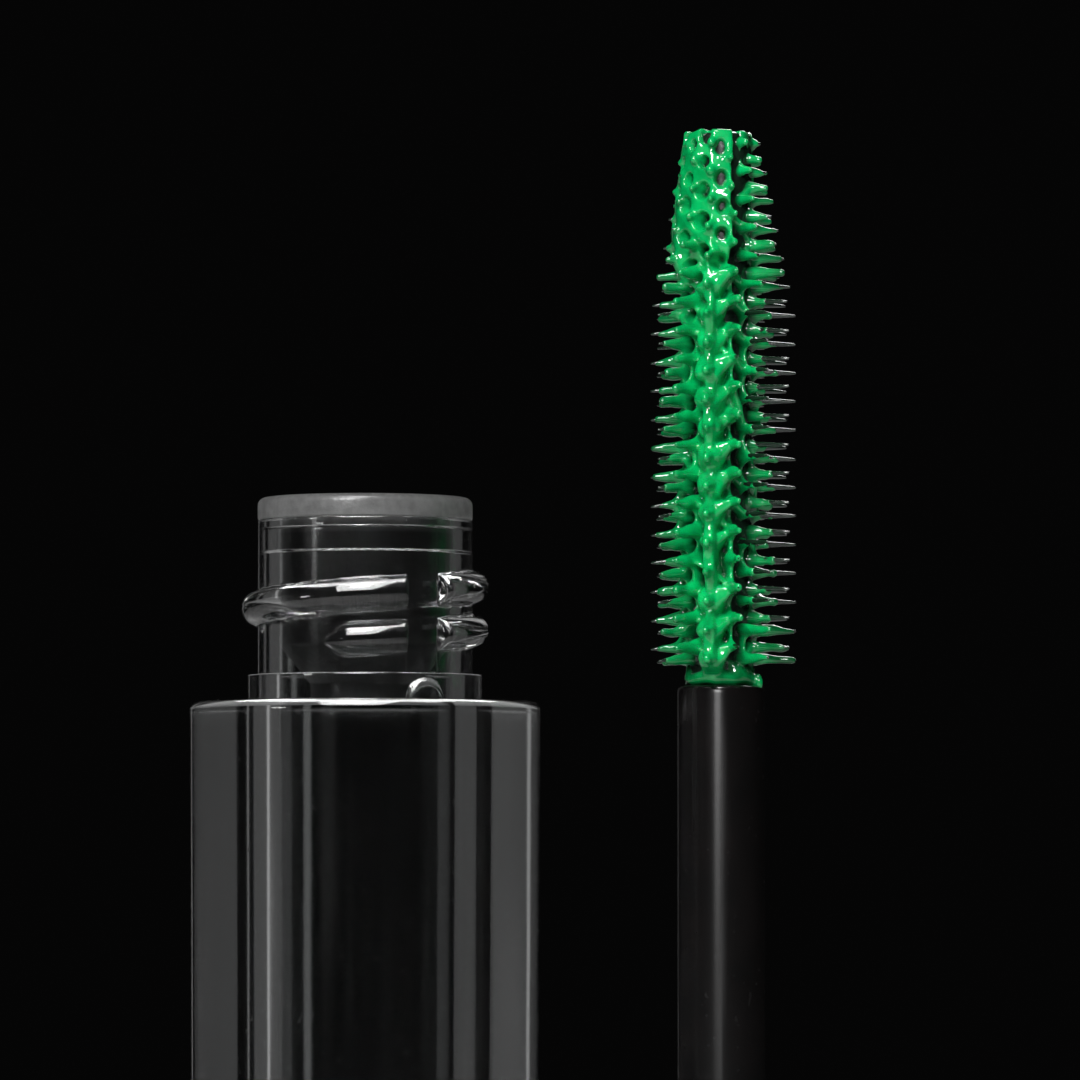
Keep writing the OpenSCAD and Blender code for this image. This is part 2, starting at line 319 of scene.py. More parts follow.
def finish(name, settings, colours=None, rough=None, bump=None):
    """Principled material: settings are plain values, and groups vary colour, roughness and normal."""
    material = bpy.data.materials.new(name)
    material.use_nodes = True
    tree = material.node_tree
    shader = tree.nodes["Principled BSDF"]
    for key, value in settings.items():
        shader.inputs[key].default_value = value
    if colours:
        made = node(tree, "Group", node_tree=mottle)
        made.inputs["Dark"].default_value = (*colours[0], 1)
        made.inputs["Light"].default_value = (*colours[1], 1)
        made.inputs["Scale"].default_value = colours[2]
        tree.links.new(made.outputs["Color"], shader.inputs["Base Color"])
    if rough:
        made = node(tree, "Group", node_tree=scuffs)
        for key, value in zip(("Base", "Amount", "Streaks"), rough):
            made.inputs[key].default_value = value
        tree.links.new(made.outputs["Roughness"], shader.inputs["Roughness"])
    if bump:
        made = node(tree, "Group", node_tree=grain)
        for key, value in zip(("Scale", "Depth", "Strength"), bump):
            made.inputs[key].default_value = value
        tree.links.new(made.outputs["Normal"], shader.inputs["Normal"])
    return material


def multiply_colour(material, factor):
    """Multiply a material's colour by the value at a socket."""
    tree = material.node_tree
    colour = tree.nodes["Principled BSDF"].inputs["Base Color"]
    plain = colour.links[0].from_socket
    shade = node(tree, "Mix", {0: 1.0}, data_type="RGBA", blend_type="MULTIPLY")
    tree.links.new(plain, shade.inputs[6])
    tree.links.new(factor, shade.inputs[7])
    tree.links.new(shade.outputs[2], colour)


# %% [markdown]
# ## The bottle
# The real one is a thick clear moulding: a body with a small cavity, a collar with a locking nub, and a
# neck with a half-round thread that stops at two smooth panels where the mould halves meet. It could be
# a plain lathe with separate thread beads, but clear plastic shows every inner face, so the bottle is
# one closed skin: a profile up the outside and down the inside, with the thread, panels and nub added
# to its radius as a relief.

# %% Relief of the neck

THREAD_START = SHOULDER_Z + 3.0
THREAD_PITCH = 2.3
THREAD_R = 0.85
THREAD_BEARING = -20.0
RUNS = [(0.0, 44.0), (63.0, 224.0), (243.0, 404.0), (423.0, 504.0)]
RUN_END = 0.42
PANELS = [33.5, 213.5]
PANEL_HALF = 9.5
PANEL_PROUD = 0.05
COLLAR_R = NECK_R + 0.5
COLLAR_TOP = SHOULDER_Z + 1.4
NUB_BEARING = 32
NUB_R = 1.1
NUB_PROUD = 0.35


def smooth(x):
    """Smooth step from 0 to 1 while x goes from 0 to 1."""
    x = np.clip(x, 0, 1)
    return x * x * (3 - 2 * x)


def wrap(degrees):
    """The same angle between -180 and 180."""
    return (degrees + 180) % 360 - 180


def thread_relief(bearing, z):
    """Half-round bead: sqrt(R^2 - dz^2) about a line that rises 2.3 mm a turn, rounded off at run ends.
    The first run starts low and swells to its full size, and the last one dies away."""
    relief = np.zeros(np.broadcast(bearing, z).shape)
    per_degree = math.radians(1) * NECK_R
    for number, (first, last) in enumerate(RUNS):
        for lap in (0, 1):
            degrees = (bearing - THREAD_BEARING) % 360 + 360 * lap
            line = THREAD_START + THREAD_PITCH * degrees / 360
            past = np.maximum(first - degrees, degrees - last) * per_degree + RUN_END
            end = np.sqrt(np.clip(1 - (np.clip(past, 0, None) / RUN_END) ** 2, 0, 1))
            bar = THREAD_R
            if number == 0:
                bar = THREAD_R * smooth((degrees - first) / 18 + 0.25)
            if number == len(RUNS) - 1:
                bar = THREAD_R * smooth((last - degrees) / 24 + 0.2)
            dome = np.sqrt(np.clip(bar**2 - (z - line) ** 2, 0, None))
            relief = np.maximum(relief, dome * end)
    return relief


def panel_relief(bearing, z):
    """Flat panels 0.05 mm proud where the thread is broken, with a thin mould line at each edge."""
    relief = np.zeros(np.broadcast(bearing, z).shape)
    for middle in PANELS:
        off = np.abs(wrap(bearing - middle))
        relief = relief + PANEL_PROUD * smooth((PANEL_HALF - off) / 0.8)
        relief = relief + PANEL_PROUD * np.exp(-(((off - PANEL_HALF) / 0.7) ** 2))
    return relief


def nub_relief(bearing, z):
    """Domed half disc on the collar: 0.35 sqrt(1 - d^4), d the distance from its centre over 1.1 mm."""
    across = np.radians(wrap(bearing - NUB_BEARING)) * COLLAR_R
    d2 = (across / NUB_R) ** 2 + ((z - SHOULDER_Z) / NUB_R) ** 2
    return NUB_PROUD * np.sqrt(np.clip(1 - d2**2, 0, 1))


# %% Profile of the bottle

CAVITY_R = 4.3
BORE_R = 4.5
BASE_T = 6.0
SNAP = 0.14
SNAP_TOP = NECK_TOP - 0.53
SNAP_FOOT = SNAP_TOP - 1.1
SKIRT_FOOT = NECK_TOP - 6.0
FUNNEL_FOOT = SKIRT_FOOT - 2.6

outside = rounded(
    [
        (0, 0.35, 0),
        (5.2, 0.3, 0.6),
        (5.8, 0, 0.3),
        (BODY_R - 0.3, 0, 0.8),
        (BODY_R, SHOULDER_Z, 0.5),
        (COLLAR_R, SHOULDER_Z, 0),
    ],
    steps=7,
)
collar_z = SHOULDER_Z + np.array([0.06, 0.12, 0.24, 0.36, 0.48, 0.6, 0.72, 0.84, 0.96, 1.04, 1.1, 1.18])
collar = np.c_[np.full(len(collar_z), COLLAR_R), collar_z]
collar_edge = rounded(
    [
        (COLLAR_R, COLLAR_TOP - 0.2, 0),
        (COLLAR_R, COLLAR_TOP, 0.2),
        (NECK_R, COLLAR_TOP, 0),
    ]
)
neck_z = np.concatenate(
    [
        COLLAR_TOP + np.array([0.02, 0.08, 0.2]),
        np.arange(THREAD_START - 0.95, THREAD_START + 4.25, 0.07),
        NECK_TOP - np.array([2.1, 1.6, 1.1, 0.7, 0.4, 0.2]),
    ]
)
neck = np.c_[np.full(len(neck_z), NECK_R), neck_z]
cavity = rounded(
    [
        (NECK_R, NECK_TOP - 0.15, 0),
        (NECK_R, NECK_TOP, 0.12),
        (BORE_R, NECK_TOP, 0.1),
        (BORE_R, SNAP_TOP + SNAP, 0.05),
        (BORE_R + SNAP, SNAP_TOP, 0.05),
        (BORE_R + SNAP, SNAP_FOOT, 0.05),
        (BORE_R, SNAP_FOOT - SNAP, 0.05),
        (BORE_R, FUNNEL_FOOT, 0.5),
        (CAVITY_R, BASE_T, 2.0),
        (0, BASE_T, 0),
    ],
    steps=6,
)
profile = np.vstack([outside, collar, collar_edge, neck, cavity])

# %% [markdown]
# The columns of the skin are 1.2 degrees apart, and closer together at the panel edges and where the
# thread starts and ends, so that those steps come out crisp. The order of the rows matters: the relief is
# added to the rows of the collar and of the neck, found by counting the points of each part.

# %% Columns, and relief added to the radius

sharp = [middle + side * PANEL_HALF for middle in PANELS for side in (-1, 1)]
sharp += [THREAD_BEARING % 360, (THREAD_BEARING + RUNS[-1][1]) % 360]
even = np.arange(0, 360, 1.2)
close = np.concatenate([c + np.arange(-3.1, 3.2, 0.45) for c in sharp])
bearing = np.unique(np.round(np.concatenate([even, close % 360]), 2))
radius = np.repeat(profile[:, :1], len(bearing), axis=1)
height = np.repeat(profile[:, 1:], len(bearing), axis=1)
collar_end = len(outside) + len(collar)
neck_start = collar_end + len(collar_edge)
on_collar = slice(len(outside) - 1, collar_end)
on_neck = slice(neck_start, neck_start + len(neck))
radius[on_collar] += nub_relief(bearing, height[on_collar])
thread = thread_relief(bearing, height[on_neck])
panels = panel_relief(bearing, height[on_neck])
radius[on_neck] += np.maximum(thread, panels)
bottle = turn("clear_bottle", radius, height, np.radians(bearing))

# %% [markdown]
# The plastic is clear with a faint smoke tint. Its gloss is not perfect: fine streaks and dust from
# handling break it up, and a shallow waviness from the mould bends what is seen through it.

# %% Clear plastic

clear_plastic = finish(
    "clear_plastic",
    {
        "Base Color": (0.62, 0.63, 0.63, 1),
        "Transmission Weight": 1.0,
        "IOR": 1.5,
    },
    rough=(0.07, 0.12, 900.0),
    bump=(120.0, 0.00006, 0.18),
)
dress(bottle, "bottle", "bottle", clear_plastic)

# %% [markdown]
# ## The wiper
# A soft frosted ring: its flange covers the rim, a skirt with a snap bead sits in the neck, and a funnel
# leads to the orifice that scrapes the stem. It is a plain lathe, and its profile is a closed loop. The
# plastic is milky: part of the light passes through, and its skin is matt. Its colour is darkened inside
# the neck as painted shade, because hardly any light reaches the real one there.

# %% Wiper

ORIFICE_R = STEM_R + 0.05
SKIRT_R = BORE_R - 0.02
SKIRT_BORE_R = SKIRT_R - 0.58
LIP = 0.5
wiper = lathe(
    "frosted_wiper",
    [
        (ORIFICE_R, FUNNEL_FOOT - 0.5, 0),
        (ORIFICE_R, FUNNEL_FOOT - 1.1, 0.12),
        (ORIFICE_R + LIP, FUNNEL_FOOT - 1.1, 0.12),
        (ORIFICE_R + LIP, FUNNEL_FOOT, 0.3),
        (SKIRT_R, SKIRT_FOOT - 0.6, 0.4),
        (SKIRT_R, SNAP_FOOT - SNAP, 0.05),
        (SKIRT_R + SNAP, SNAP_FOOT, 0.05),
        (SKIRT_R + SNAP, SNAP_TOP, 0.05),
        (SKIRT_R, SNAP_TOP + SNAP, 0.05),
        (SKIRT_R, NECK_TOP + 0.01, 0.05),
        (NECK_R, NECK_TOP + 0.01, 0.12),
        (NECK_R, FLANGE_TOP, 0.4),
        (SKIRT_BORE_R, FLANGE_TOP, 0.25),
        (SKIRT_BORE_R, SKIRT_FOOT, 0.4),
        (ORIFICE_R, FUNNEL_FOOT, 0.4),
    ],
    columns=240,
    steps=6,
)
wiper_plastic = finish(
    "wiper_plastic",
    {
        "Roughness": 0.34,
        "Transmission Weight": 0.85,
        "IOR": 1.5,
    },
    colours=((0.34, 0.34, 0.34), (0.56, 0.56, 0.56), 2200.0),
    bump=(3000.0, 0.00004, 0.8),
)


def paint_shade_below(material, level, depth, share):
    """Painted shade: multiply a material's colour by share below a level, over a fade of the given depth
    (both in mm).
    """
    tree = material.node_tree
    where = node(tree, "TexCoord").outputs["Object"]
    up = node(tree, "SeparateXYZ", {0: where}).outputs[2]
    gain = node(tree, "MapRange", {0: up, 1: (level - depth) * MM, 2: level * MM, 3: share, 4: 1.0})
    multiply_colour(material, gain.outputs[0])


# Painted shade: the wiper's colour falls to 5 percent inside the neck, where little light reaches.
paint_shade_below(wiper_plastic, NECK_TOP, 0.8, 0.05)
dress(wiper, "wiper", "bottle", wiper_plastic)

# %% [markdown]
# ## Caps, liner and stem
# The outer cap is a glossy black shell, closed at the end that it stands on. The ribbed inner cap and
# the foam liner inside it are right as they are in the CAD, so they keep their meshes and only get
# materials. The stem is a rod with a softly rounded top, where the brush goes in.

# %% Outer cap

CAP_BORE_R = CAP_R - 1.1
outer_cap = lathe(
    "outer_shell",
    [
        (0, 0.25, 0),
        (CAP_R - 3.0, 0.25, 0.4),
        (CAP_R - 2.6, 0, 0.3),
        (CAP_R - 0.2, 0, 0.6),
        (CAP_R, CAP_H, 0.18),
        (CAP_BORE_R, CAP_H, 0.2),
        (CAP_BORE_R, 1.5, 0.6),
        (0, 1.5, 0),
    ],
    axis_x=WAND_X,
    columns=240,
    steps=6,
)
cap_plastic = finish(
    "cap_plastic",
    {"Specular IOR Level": 0.5, "Coat Weight": 0.35, "Coat Roughness": 0.04},
    colours=((0.006, 0.006, 0.006), (0.012, 0.012, 0.012), 250.0),
    rough=(0.14, 0.18, 700.0),
    bump=(500.0, 0.00002, 0.1),
)
dress(outer_cap, "outer_cap", "wand", cap_plastic)

# %% Inner cap and liner keep their CAD meshes

insert_plastic = finish(
    "insert_plastic",
    {},
    colours=((0.012, 0.012, 0.012), (0.025, 0.025, 0.025), 500.0),
    rough=(0.38, 0.2, 900.0),
    bump=(3000.0, 0.00002, 0.4),
)
liner_foam = finish(
    "liner_foam",
    {"Roughness": 0.85},
    colours=((0.62, 0.62, 0.6), (0.8, 0.8, 0.77), 2500.0),
    bump=(6000.0, 0.00005, 0.8),
)
for name, material in (("inner_cap", insert_plastic), ("cap_liner", liner_foam)):
    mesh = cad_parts[name].data
    mesh.materials.clear()
    mesh.materials.append(material)
    print(name, "keeps", len(mesh.polygons), "faces, now in", material.name)

# %% Stem

BEAD_Z = STEM_FOOT + 2.0
SOCKET_FOOT = STEM_TOP - 8
stem = lathe(
    "wand_stem",
    [
        (0, STEM_FOOT, 0),
        (STEM_R, STEM_FOOT, 0.3),
        (STEM_R, BEAD_Z, 0.05),
        (STEM_R + STEM_BEAD, BEAD_Z, 0.1),
        (STEM_R + STEM_BEAD, BEAD_Z + 1, 0.1),
        (STEM_R, BEAD_Z + 1, 0.05),
        (STEM_R, STEM_TOP, 0.32),
        (1.05, STEM_TOP, 0.1),
        (1.0, SOCKET_FOOT, 0.1),
        (0, SOCKET_FOOT, 0),
    ],
    axis_x=WAND_X,
    columns=180,
    steps=7,
)
stem_plastic = finish(
    "stem_plastic",
    {"Specular IOR Level": 0.4, "Coat Weight": 0.15, "Coat Roughness": 0.2},
    colours=((0.003, 0.003, 0.003), (0.006, 0.005, 0.005), 400.0),
    rough=(0.2, 0.12, 1300.0),
    bump=(1800.0, 0.00001, 0.15),
)
dress(stem, "stem", "wand", stem_plastic)

# %% [markdown]
# ## The brush
# It is one moulding of black elastic plastic: a core with 14 rows of tapered bristles, every other row
# raised. The bristles are short at the flat end and longer below it. They could be instances of one
# cone, but real ones sag and wander a little, so all of them are worked out at once as a stack of rings
# on an array of paths. Angles on the wand are measured from +X toward +Y, so the front is at -90 degrees.

# %% Where the bristles stand

ROWS = 14
PITCH_Z = 1.51
STAGGER = 0.42
LOWEST = STEM_TOP + 1.4
LONGEST = 3.846
rng = np.random.default_rng(7)


def reach(z):
    """Distance from the axis that bristles at height z reach: 1.95 mm at the end, growing 0.2 per mm."""
    return np.minimum(LONGEST, 1.95 + 0.2 * (BRUSH_TOP - z))


def bristle_places():
    """Row number, angle from +X and height of every bristle, row by row, to just under the flat end."""
    found = []
    for row in range(ROWS):
        low = LOWEST + PITCH_Z * STAGGER * (row % 2)
        for number, z in enumerate(np.arange(low, BRUSH_TOP - 0.52, PITCH_Z)):
            found.append((row, number, 2 * np.pi * row / ROWS, z))
    return np.array(found)


places = bristle_places()
row_of = places[:, 0].astype(int)
number_of = places[:, 1].astype(int)
angle_of = places[:, 2]
z_of = places[:, 3]
count = len(places)
side = np.cos(angle_of)
tip_r = reach(z_of) * (1 + 0.04 * side)
droop = 0.05 + 0.10 * np.clip(-side, 0, 1) + rng.normal(0, 0.025, count)
wander = rng.normal(0, 0.035, count)
print(count, "bristles in", ROWS, "rows")

# %% Bristles as rings on paths


def bristle_centre(t):
    """Centre of each bristle at radius share t (0 at the core, 1 at the tip): out, sagging with t^2."""
    out = CORE_R - 0.3 + (tip_r - CORE_R + 0.3) * t
    bend = t * t
    x = out * np.cos(angle_of) - wander * bend * np.sin(angle_of)
    y = out * np.sin(angle_of) + wander * bend * np.cos(angle_of)
    return np.stack([x + WAND_X, y, z_of - droop * bend], -1)


def bristle_skin(sides=8):
    """Rings of 8 points at shares of the length, radius 0.28 to 0.055 mm, closed by a point at each end."""
    shares = np.array([0.0, 0.16, 0.3, 0.6, 0.86, 0.97])
    radii = np.array([0.28, 0.23, 0.18, 0.13, 0.09, 0.055])
    around = np.linspace(0, 2 * np.pi, sides, endpoint=False)
    across = np.stack([-np.sin(angle_of), np.cos(angle_of), np.zeros(count)], -1)
    up = np.array([0.0, 0.0, 1.0])
    rings = []
    for t, r in zip(shares, radii):
        ring = np.cos(around)[None, :, None] * across[:, None] + np.sin(around)[None, :, None] * up
        rings.append(bristle_centre(t)[:, None] + r * ring)
    body = np.stack(rings, 1)
    ends = np.stack([bristle_centre(-0.02), bristle_centre(1.0)], 1)
    each = len(shares) * sides + 2
    points = np.concatenate([body.reshape(count, -1, 3), ends], 1)
    quads = skin(len(shares), sides)
    column = np.arange(sides)
    after = np.roll(column, -1)
    foot = np.stack([after, column, np.full(sides, each - 2)], -1)
    last = (len(shares) - 1) * sides
    tip = np.stack([last + column, last + after, np.full(sides, each - 1)], -1)
    shift = (np.arange(count) * each)[:, None, None]
    faces = [(part[None] + shift).reshape(-1, part.shape[-1]) for part in (quads, foot, tip)]
    return points.reshape(-1, 3), faces


def core_skin(columns=72):
    """The core and its shank, one closed profile turned about the wand's axis."""
    shank_r = 0.98
    shank_foot = STEM_TOP - 7.8
    profile = rounded(
        [
            (0, shank_foot, 0),
            (shank_r, shank_foot, 0.2),
            (shank_r, STEM_TOP, 0.02),
            (CORE_R, STEM_TOP, 0.1),
            (CORE_R, BRUSH_TOP - 0.12, 0.25),
            (0, BRUSH_TOP - 0.2, 0),
        ]
    )
    b = np.linspace(0, 2 * np.pi, columns, endpoint=False)
    r = profile[1:-1, :1]
    z = np.repeat(profile[1:-1, 1:], columns, axis=1)
    grid = np.stack([WAND_X + r * np.cos(b), r * np.sin(b), z], -1).reshape(-1, 3)
    column = np.arange(columns)
    after = np.roll(column, -1)
    last = len(grid) - columns
    ends = np.array([[WAND_X, 0, profile[0, 1]], [WAND_X, 0, profile[-1, 1]]])
    foot = np.stack([after, column, np.full(columns, len(grid))], -1)
    top = np.stack([last + column, last + after, np.full(columns, len(grid) + 1)], -1)
    return np.vstack([grid, ends]), [skin(len(r), columns), foot, top]


core_points, core_faces = core_skin()
hair_points, hair_faces = bristle_skin()
joined = core_faces + [part + len(core_points) for part in hair_faces]
brush = to_mesh("moulded_brush", np.vstack([core_points, hair_points]), joined)
brush_plastic = finish(
    "brush_plastic",
    {"Specular IOR Level": 0.6, "Coat Weight": 0.5, "Coat Roughness": 0.08},
    colours=((0.002, 0.005, 0.003), (0.006, 0.018, 0.010), 900.0),
    rough=(0.2, 0.12, 2500.0),
    bump=(3500.0, 0.00001, 0.3),
)
dress(brush, "brush", "wand", brush_plastic)

# %% [markdown]
# ## The product
# Wet product clings to the brush: a film on the core, a thick sleeve on each bristle, thin webs between
# neighbours, and dark pits where the film is thin. Separate lumps would show their joints. So the whole
# of it is one field on a lattice, which gives at each point roughly how far it is outside the product.
# A film, webs and sleeves are joined with a smooth minimum, the way that a liquid rounds its corners, and
# the surface where the field is zero becomes the mesh. The film and the webs are first drawn as a crest:
# how far the product reaches from the axis at each angle and height.

# %% Crest of the film and webs, on a grid of angle and height

FILM_TURN = 0.75
FILM_STEP = 0.045
Z_LOW = STEM_TOP - 0.5
Z_HIGH = BRUSH_TOP + 0.3
film_angle = np.radians(np.arange(0, 360, FILM_TURN))
film_z = np.arange(Z_LOW, Z_HIGH, FILM_STEP)
A, Z = np.meshgrid(film_angle, film_z, indexing="ij")
FRONT = -np.pi / 2


def turned(a, b):
    """Difference of two angles, between -pi and pi."""
    return (a - b + np.pi) % (2 * np.pi) - np.pi


def ripple(a, z, waves, seed):
    """Gentle unevenness: a sum of sines that close round the core, with random phases from a seed."""
    dice = np.random.default_rng(seed)
    total = np.zeros(np.broadcast(a, z).shape)
    for _ in range(waves):
        waves_round = dice.integers(1, 9)
        per_mm = dice.uniform(0.5, 5)
        total = total + np.sin(waves_round * a + per_mm * z + dice.uniform(0, 6.28))
    return total / math.sqrt(waves)


def fullness(a, z):
    """1 at the flat end, where product fills the rows, fading to 0 some way down, sooner on the right."""
    right = turned(a, FRONT)
    open_side = smooth((right - 0.12) / 0.3) * smooth((2.4 - right) / 0.5)
    depth = 9.5 - 7.5 * open_side + 0.8 * ripple(a, z * 0.4, 5, 3)
    return smooth((z - (BRUSH_TOP - depth)) / 4.0)


def film_crest():
    """Film radius: thin on the core, thicker just above the stem, near the tips where it is full."""
    thin = 1.46 + 0.14 * ripple(A, Z, 10, 5)
    at_foot = np.exp(-(((Z - STEM_TOP - 0.5) / 0.75) ** 2))
    thin = thin + 0.42 * at_foot * (0.75 + 0.25 * np.sin(A * 2 + 4))
    brim = reach(Z) - 0.05 - 0.30 * smooth((BRUSH_TOP - Z) / 8)
    return thin + fullness(A, Z) * (brim - thin) * 0.85


crest = film_crest()
dice = np.random.default_rng(21)

# %% A web between two bristles

FRONT_ROW = 10
WEB_R = 2.4
WEB_ROOM = 0.9
WEB_FOOT_R = 1.45


def web_strength(angle):
    """How high webs stand on the bristles at an angle: most at the front, least at the right and back."""
    front = np.exp(-((turned(angle, FRONT - 0.22) / 0.55) ** 2))
    left = np.exp(-((turned(angle, np.pi) / 1.0) ** 2))
    return 0.35 + 0.75 * front + 0.25 * left


def ridge(i, r0, j, r1, half, sag, flare=0.0):
    """Raise the crest on a line from bristle i at radius r0 to bristle j at r1. Its height sags in the
    middle by sag, and its sides fall steeply at the half width. A flare widens its end at j and narrows
    its end at i. Angles count as lengths at the web's usual radius."""
    z0 = z_of[i]
    z1 = z_of[j]
    turn_by = turned(angle_of[j], angle_of[i])
    lo = max(int((min(z0, z1) - WEB_ROOM - Z_LOW) / FILM_STEP), 0)
    hi = min(int((max(z0, z1) + WEB_ROOM - Z_LOW) / FILM_STEP), len(film_z))
    middle = angle_of[i] + turn_by / 2
    near = np.nonzero(np.abs(turned(film_angle, middle)) < np.radians(30))[0]
    a = turned(A[near, lo:hi], angle_of[i]) * WEB_R
    z = Z[near, lo:hi] - z0
    span = np.array([turn_by * WEB_R, z1 - z0])
    u = np.clip((a * span[0] + z * span[1]) / (span @ span), 0, 1)
    off = np.hypot(a - u * span[0], z - u * span[1])
    top = r0 + (r1 - r0) * u - sag * 4 * u * (1 - u)
    width = half * (1 + flare * (u - 0.5))
    shape = WEB_FOOT_R + (top - WEB_FOOT_R) / (1 + (off / width) ** 5)
    crest[near, lo:hi] = np.maximum(crest[near, lo:hi], shape)


# %% Draw the webs: up each row, to the next row, and broad ones beside the front row

by_place = {(r, n): i for i, (r, n) in enumerate(zip(row_of, number_of))}
climb = np.clip(web_strength(angle_of) * dice.uniform(0.35, 0.75, count), 0.15, 0.9)
attach = np.minimum(tip_r - 0.15, CORE_R + 0.25 + (tip_r - CORE_R) * climb)
webs = 0
for (row, number), i in by_place.items():
    above = by_place.get((row, number + 1))
    strong = web_strength(angle_of[i])
    if above is not None and dice.random() < 0.6 + 0.4 * strong:
        half = 0.17 + 0.15 * (row == FRONT_ROW) + dice.uniform(-0.03, 0.05)
        sag = dice.uniform(0.35, 0.95) * (0.35 if row == FRONT_ROW else 1.0)
        ridge(i, attach[i], above, attach[above], half, sag)
        webs += 1
    for step in (-1, 0) if row % 2 else (0, -1):
        j = by_place.get(((row + 1) % ROWS, number + step))
        if j is not None and dice.random() < 0.10 + 0.12 * strong:
            r0 = CORE_R + (attach[i] - CORE_R) * dice.uniform(0.5, 0.95)
            r1 = CORE_R + (attach[j] - CORE_R) * dice.uniform(0.4, 0.9)
            half = dice.uniform(0.2, 0.3)
            sag = dice.uniform(0, 0.3)
            ridge(i, r0, j, r1, half, sag)
            webs += 1
    j = by_place.get((FRONT_ROW, number))
    for beside, near_r, chance in ((FRONT_ROW + 1, 3.15, 0.9), (FRONT_ROW - 1, 2.2, 0.35)):
        if row == beside and j is not None and dice.random() < chance:
            r0 = min(near_r * dice.uniform(0.72, 1.02), tip_r[i] - 0.2)
            r1 = min(3.2 * dice.uniform(0.9, 1.03), tip_r[j] - 0.2)
            half = dice.uniform(0.36, 0.58)
            sag = dice.uniform(0, 0.3)
            ridge(i, r0, j, r1, half, sag, 1.25)
            webs += 1
print(webs, "webs")

# %% Pits between the rows where the end is full


def dig_pits():
    """Lower the crest in ovals, one in each gap between neighbouring rows and heights."""
    depth = np.zeros_like(crest)
    for row in range(ROWS):
        middle = 2 * np.pi * (row + 0.5) / ROWS
        near = np.nonzero(np.abs(turned(film_angle, middle)) < np.radians(14))[0]
        for z0 in np.arange(LOWEST + 1.05, BRUSH_TOP - 1.0, PITCH_Z):
            z0 = z0 + dice.normal(0, 0.1) + 0.5 * PITCH_Z * (row % 2)
            size = dice.uniform(0.85, 1.25)
            lo = max(int((z0 - 1.0 - Z_LOW) / FILM_STEP), 0)
            hi = int((z0 + 1.0 - Z_LOW) / FILM_STEP)
            across = turned(A[near, lo:hi], middle + dice.normal(0, 0.03)) * 2.2 / (0.31 * size)
            along = (Z[near, lo:hi] - z0) / (0.36 * size)
            pit = dice.uniform(0.9, 1.15) * np.exp(-((across**2 + along**2) ** 3))
            depth[near, lo:hi] = np.maximum(depth[near, lo:hi], pit)
    return depth


crest = crest - (crest - 1.5) * dig_pits() * np.clip(fullness(A, Z) * 2, 0, 1)
print("crest from", round(crest.min(), 2), "to", round(crest.max(), 2), "mm")

# %% Field on the lattice

LATTICE = 0.09
HALF_WIDTH = 4.05
grid_xy = np.arange(-HALF_WIDTH, HALF_WIDTH + 0.01, LATTICE)
grid_z = np.arange(Z_LOW, Z_HIGH, LATTICE)
lattice_low = np.array([-HALF_WIDTH, -HALF_WIDTH, Z_LOW])
X3 = grid_xy[:, None, None]
Y3 = grid_xy[None, :, None]
Z3 = grid_z[None, None, :]
radius2 = np.hypot(grid_xy[:, None], grid_xy[None, :])
angle2 = np.arctan2(grid_xy[None, :], grid_xy[:, None]) % (2 * np.pi)


def sample_crest(values):
    """The crest at each lattice column's angle and at every lattice height, between its grid lines."""
    place = angle2.ravel() / np.radians(FILM_TURN)
    low = np.floor(place).astype(int) % len(film_angle)
    share = (place - np.floor(place))[:, None]
    rows = np.clip(np.round((grid_z - Z_LOW) / FILM_STEP).astype(int), 0, len(film_z) - 1)
    part = values[:, rows]
    mixed = part[low] * (1 - share) + part[(low + 1) % len(film_angle)] * share
    return mixed.reshape(*angle2.shape, len(grid_z))


slope_round = np.gradient(crest, np.radians(FILM_TURN), axis=0) / 2.3
slope_up = np.gradient(crest, FILM_STEP, axis=1)
steep = np.sqrt(1 + np.minimum(np.hypot(slope_round, slope_up), 3.0) ** 2)
film = (radius2[:, :, None] - sample_crest(crest)) / sample_crest(steep)
dish = BRUSH_TOP - 0.02 - 0.12 * np.clip(1 - (radius2[:, :, None] / 1.7) ** 2, 0, 1)


def smooth_min(a, b, k):
    """Smaller of two distances, rounded where they are within k of each other."""
    h = np.clip(0.5 + 0.5 * (b - a) / k, 0, 1)
    return b + (a - b) * h - k * h * (1 - h)


foot = STEM_TOP + 0.02 - Z3
field = -smooth_min(-film, -(Z3 - dish), 0.18)
field = -smooth_min(-field, -foot, 0.1)
print("lattice", field.shape, "film done")

# %% Sleeves on the bristles

on_right = side > 0.25
cover = np.where(on_right, dice.uniform(0.40, 0.62, count), dice.uniform(0.74, 0.93, count))
cover = np.where(on_right & (z_of < STEM_TOP + 3.2), dice.uniform(0.9, 1.0, count), cover)
cover = np.where(z_of > BRUSH_TOP - 8.5, dice.uniform(0.8, 1.0, count), cover)
front_row = np.exp(-((turned(angle_of, FRONT - 0.3) / 0.55) ** 2))
cover = np.where((front_row > 0.4) & (dice.random(count) < 0.8), 1.02, cover)
thick = dice.uniform(0.33, 0.42, count) + 0.10 * front_row + 0.05 * (row_of % 2)
thin_end = dice.uniform(0.12, 0.18, count) + 0.07 * front_row
NARROW = 0.85
FLATTEN = 1 / NARROW**2 - 1


